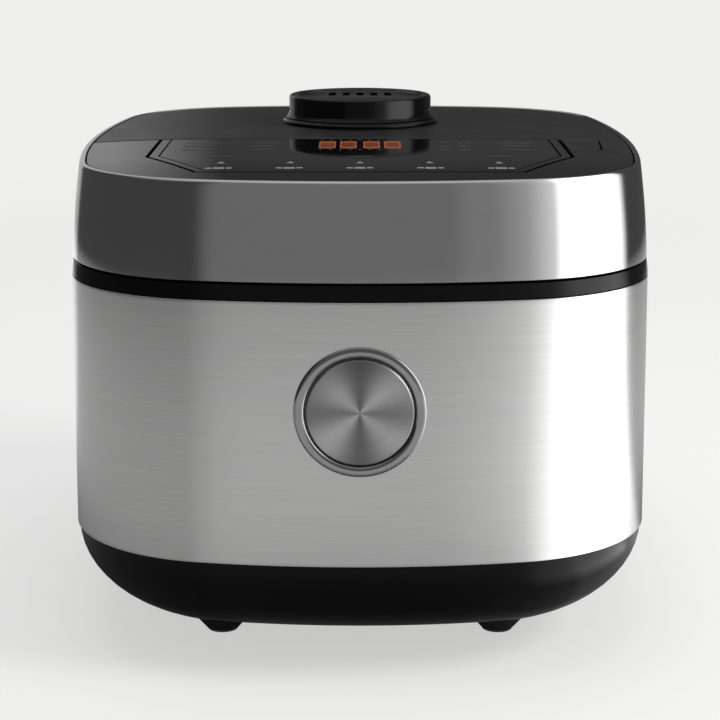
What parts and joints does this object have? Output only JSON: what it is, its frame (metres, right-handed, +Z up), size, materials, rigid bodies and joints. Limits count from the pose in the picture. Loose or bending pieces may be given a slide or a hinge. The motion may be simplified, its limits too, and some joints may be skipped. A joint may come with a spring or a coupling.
{
  "type": "rice cooker",
  "caption": "Rice cooker with a steel body, a rear-hinged lid with a control panel, a round lid release button and a steam vent.",
  "frame": {"origin": "on the floor, under the middle of the body's width and depth", "axes": "+Z up, +Y to the rear where the hinge is, +X to the right as seen from the front"},
  "size_m": [0.3022, 0.3736, 0.2596],
  "materials": {
    "brushed_steel": "brushed along the body",
    "polished_steel": "polished",
    "spring_steel": "drawn wire and plain sheet",
    "gloss_black": "glossy moulded",
    "satin_black": "satin moulded",
    "grey_plastic": "fine moulded grain",
    "window_black": "smoked, glossy",
    "pot_coating": "non-stick coating",
    "aluminium": "satin",
    "copper": "enamelled winding",
    "ferrite": "pressed",
    "circuit_board": "solder mask",
    "rubber": "matt",
    "silicone": "matt"
  },
  "bodies": {
    "cooker": {"base_shell": "gloss_black", "body_wrap": "brushed_steel", "top_collar": "satin_black", "chamber_liner": "grey_plastic", "induction_coil": "copper", "coil_holder": "grey_plastic", "sensor_spring": "spring_steel", "inner_pot": "pot_coating", "power_board": "circuit_board", "heat_sink": "aluminium", "fan_frame": "satin_black", "power_inlet": "satin_black", "button_bezel": "polished_steel", "button_housing": "grey_plastic", "button_spring": "spring_steel", "latch_pin": "spring_steel", "latch_bracket": "spring_steel", "hinge_housing": "satin_black", "hinge_pin": "polished_steel", "hinge_spring": "spring_steel", "condensate_bay": "satin_black", "ferrite_bar_1": "ferrite", "ferrite_bar_2": "ferrite", "ferrite_bar_3": "ferrite", "ferrite_bar_4": "ferrite", "foot_front_left": "rubber", "base_screw_front_left": "spring_steel", "foot_front_right": "rubber", "base_screw_front_right": "spring_steel", "foot_rear_left": "rubber", "base_screw_rear_left": "spring_steel", "foot_rear_right": "rubber", "base_screw_rear_right": "spring_steel"},
    "lid": {"lid_ring": "polished_steel", "lid_frame": "satin_black", "hinge_arm_left": "aluminium", "hinge_arm_right": "aluminium", "rear_cover": "satin_black", "front_cover": "gloss_black", "panel_bezel": "gloss_black", "panel_window": "window_black", "control_board": "circuit_board", "display_module": "satin_black", "inner_lid": "aluminium", "lid_gasket": "silicone", "lid_striker": "spring_steel", "key_trim": "satin_black", "exhaust_spring": "spring_steel", "steam_collar": "gloss_black"},
    "steam_vent": {"steam_cap": "gloss_black", "steam_cup": "grey_plastic", "steam_seal": "silicone"},
    "button": {"lid_button": "brushed_steel"},
    "latch": {"latch_lever": "grey_plastic"},
    "exhaust_key": {"exhaust_key": "satin_black"},
    "pot_sensor": {"pot_sensor": "aluminium"},
    "fan": {"fan_rotor": "gloss_black"},
    "condensate_tray": {"condensate_tray": "grey_plastic"}
  },
  "joints": [
    {"name": "lid_hinge", "type": "hinge", "parent": "cooker", "child": "lid", "pos_m": [0, 0.174, 0.215], "axis": [-1, 0, 0], "range_deg": [0, 82]},
    {"name": "button_press", "type": "slide", "parent": "cooker", "child": "button", "axis": [0, 1, 0], "range_m": [0, 0.004], "stiffness_N_per_m": 400, "springref_m": -0.002, "deforming": ["button_spring"]},
    {"name": "latch_tilt", "type": "hinge", "parent": "cooker", "child": "latch", "pos_m": [0, -0.15998, 0.166], "axis": [1, 0, 0], "range_deg": [0, 7.5]},
    {"name": "steam_vent_lift", "type": "slide", "parent": "lid", "child": "steam_vent", "axis": [0, 0, 1], "range_m": [0, 0.045]},
    {"name": "exhaust_key_press", "type": "slide", "parent": "lid", "child": "exhaust_key", "axis": [0, 0, -1], "range_m": [0, 0.002], "stiffness_N_per_m": 300, "springref_m": -0.002, "deforming": ["exhaust_spring"]},
    {"name": "pot_sensor_press", "type": "slide", "parent": "cooker", "child": "pot_sensor", "axis": [0, 0, -1], "range_m": [0, 0.003], "stiffness_N_per_m": 200, "springref_m": -0.003, "deforming": ["sensor_spring"]},
    {"name": "fan_spin", "type": "hinge", "parent": "cooker", "child": "fan", "pos_m": [0, -0.055, 0.0141], "axis": [0, 0, 1], "continuous": true},
    {"name": "tray_pull", "type": "slide", "parent": "cooker", "child": "condensate_tray", "axis": [0, 1, 0], "range_m": [0, 0.034]}
  ],
  "couplings": [
    {"joint": "latch_tilt", "follows": "button_press", "rad_per_m": 32.258}
  ]
}
